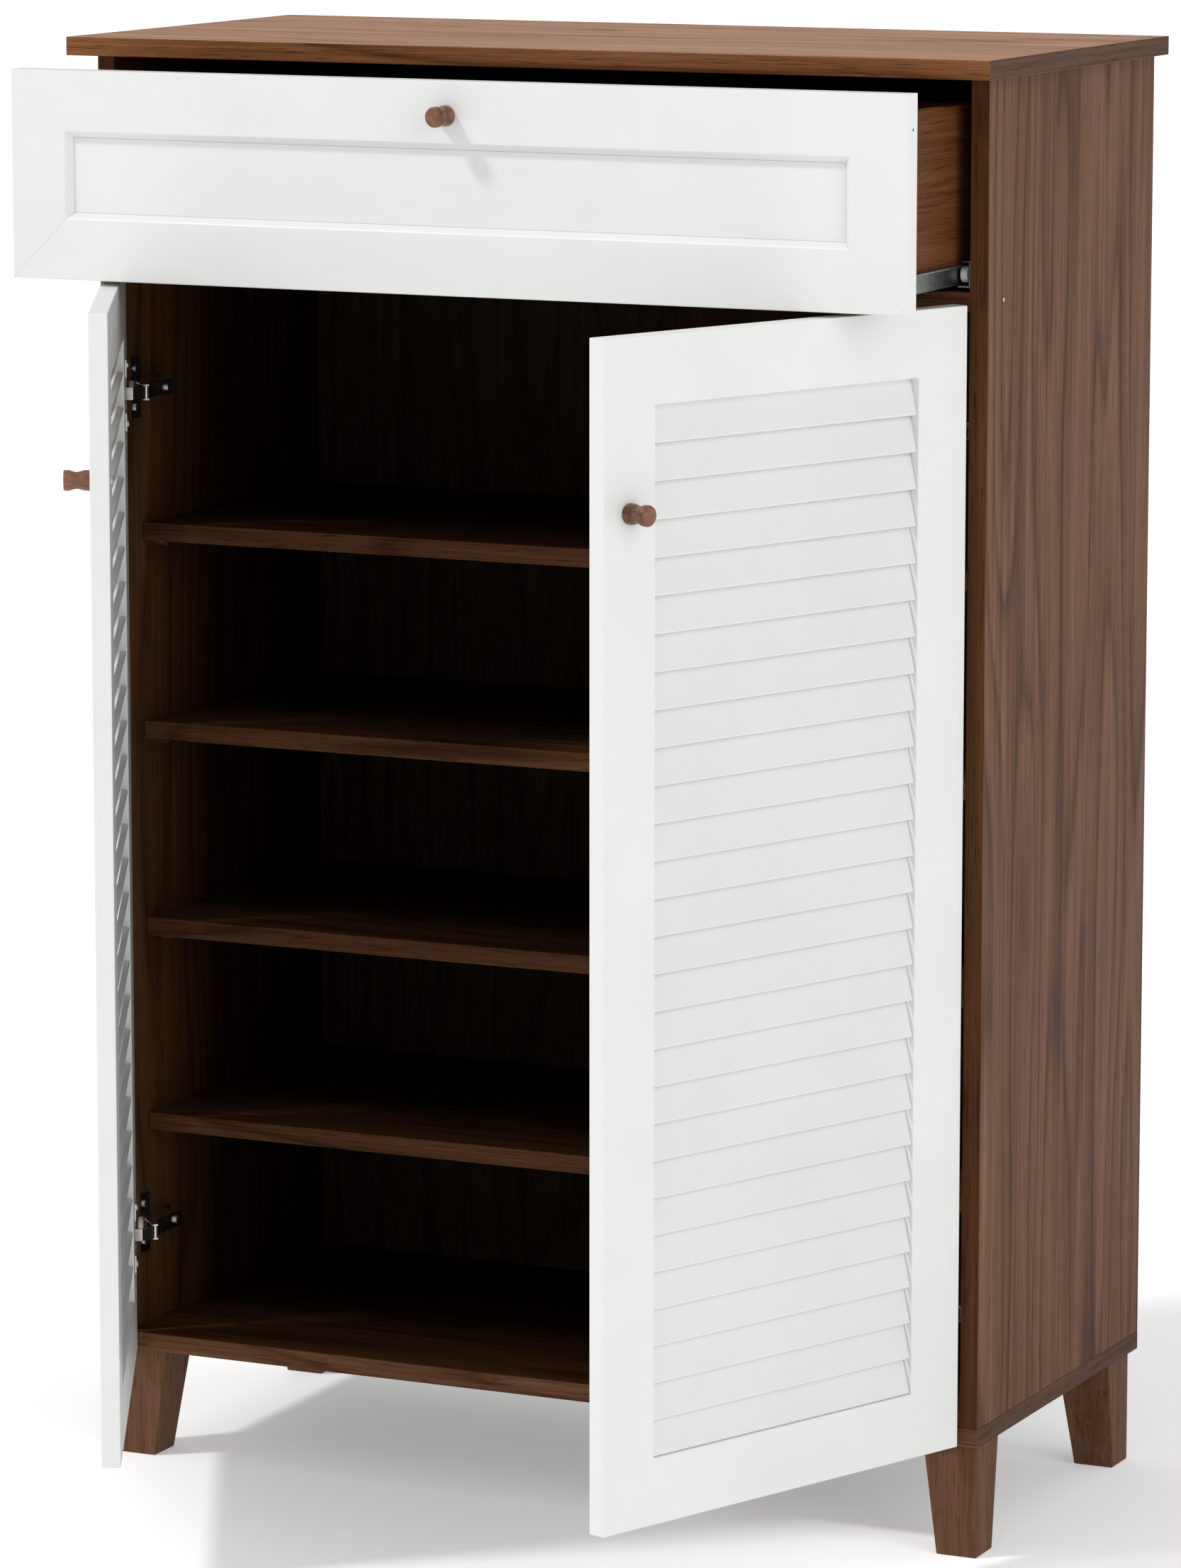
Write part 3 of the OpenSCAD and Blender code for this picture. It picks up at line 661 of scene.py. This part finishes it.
def turnKnob(node, body, place):
    low, high = closedBox(node, place)
    radius = (high.x - low.x) / 2
    length = high.y - low.y
    base = Vector(((low.x + high.x) / 2, high.y, (low.z + high.z) / 2))
    bm = bmesh.new()
    path = [bm.verts.new(base + Vector((out * radius, -at * length, 0))) for at, out in knob["profile"]]
    edges = [bm.edges.new(pair) for pair in zip(path, path[1:])]
    bmesh.ops.spin(
        bm,
        geom=path + edges,
        cent=base,
        axis=(0, 1, 0),
        angle=2 * math.pi,
        steps=knob["sides"],
        use_merge=True,
    )
    bmesh.ops.remove_doubles(bm, verts=bm.verts, dist=meshing["join"])
    bmesh.ops.recalc_face_normals(bm, faces=bm.faces)
    smoothAngle = meshing["smoothTurned"]
    finishPiece(bm, "turned_" + node, body, [node], [knobTurned], place, smoothAngle)


turnKnob("drawer_knob", "drawer", Matrix.Identity(4))
for side in ("left", "right"):
    turnKnob(side + "_knob", side + "_door", doorPose(side))
print("knobs ready")

# materials of the pieces shown as they are

shownMaterials = {
    zinc: ["left_slide_channel", "right_slide_channel", "left_drawer_runner", "right_drawer_runner"],
    nickel: [
        "hinge_plates",
        "hinge_arms",
        "left_hinge_cups",
        "right_hinge_cups",
        "left_hinge_links",
        "right_hinge_links",
    ],
    steel: [
        "leg_bolts",
        "cam_locks",
        "cam_bolts",
        "fixing_screws",
        "back_panel_nails",
        "drawer_screws",
        "left_door_screws",
        "right_door_screws",
        "shelf_pins",
    ],
    nylon: ["front_rollers", "rear_rollers"],
    rubber: ["door_bumpers"],
    beech: ["wood_dowels"],
    shadedHardboard: ["back_panel"],
    lacquer: ["drawer_front_panel"],
}
for material, nodes in shownMaterials.items():
    for node in nodes:
        mesh = frame["nodes"][node].data
        mesh.materials.clear()
        mesh.materials.append(material)

# studio


def studioFloor():
    bm = bmesh.new()
    bmesh.ops.create_grid(bm, x_segments=1, y_segments=1, size=studio["floorSize"] / 2)
    mesh = bpy.data.meshes.new("studio_floor")
    bm.to_mesh(mesh)
    bm.free()
    mesh.materials.append(floorMaterial())
    floor = bpy.data.objects.new("studio_floor", mesh)
    bpy.context.scene.collection.objects.link(floor)


def addSun(name, strength, direction, angle):
    light = bpy.data.lights.new(name, "SUN")
    light.energy = strength
    light.angle = math.radians(angle)
    lamp = bpy.data.objects.new(name, light)
    lamp.location = Vector(direction) * studio["lampDistance"]
    lamp.rotation_mode = "QUATERNION"
    lamp.rotation_quaternion = (-Vector(direction)).to_track_quat("-Z", "Y")
    bpy.context.scene.collection.objects.link(lamp)


studioFloor()
world = bpy.data.worlds.new("studio_light")
world.use_nodes = True
world.node_tree.nodes["Background"].inputs["Color"].default_value = (1, 1, 1, 1)
world.node_tree.nodes["Background"].inputs["Strength"].default_value = studio["world"]
bpy.context.scene.world = world
addSun("key_light", studio["keyStrength"], studio["keyFrom"], studio["keyAngle"])
addSun("side_light", studio["sideStrength"], studio["sideFrom"], studio["sideAngle"])
bpy.context.scene.view_settings.view_transform = "Standard"

cameraLook = {
    "place": (2.3124, -4.8075, 1.4733),
    "yaw": 25.16,
    "down": 9.357,
    "lens": 155.59,
    "sensor": 36.0,
}
cameraData = bpy.data.cameras.new("view_camera")
cameraData.lens = cameraLook["lens"]
cameraData.sensor_width = cameraLook["sensor"]
camera = bpy.data.objects.new("view_camera", cameraData)
camera.location = cameraLook["place"]
yaw = math.radians(cameraLook["yaw"])
down = math.radians(cameraLook["down"])
looking = Vector((-math.sin(yaw) * math.cos(down), math.cos(yaw) * math.cos(down), -math.sin(down)))
camera.rotation_mode = "QUATERNION"
camera.rotation_quaternion = looking.to_track_quat("-Z", "Y")
bpy.context.scene.collection.objects.link(camera)
bpy.context.scene.camera = camera
print("studio ready")
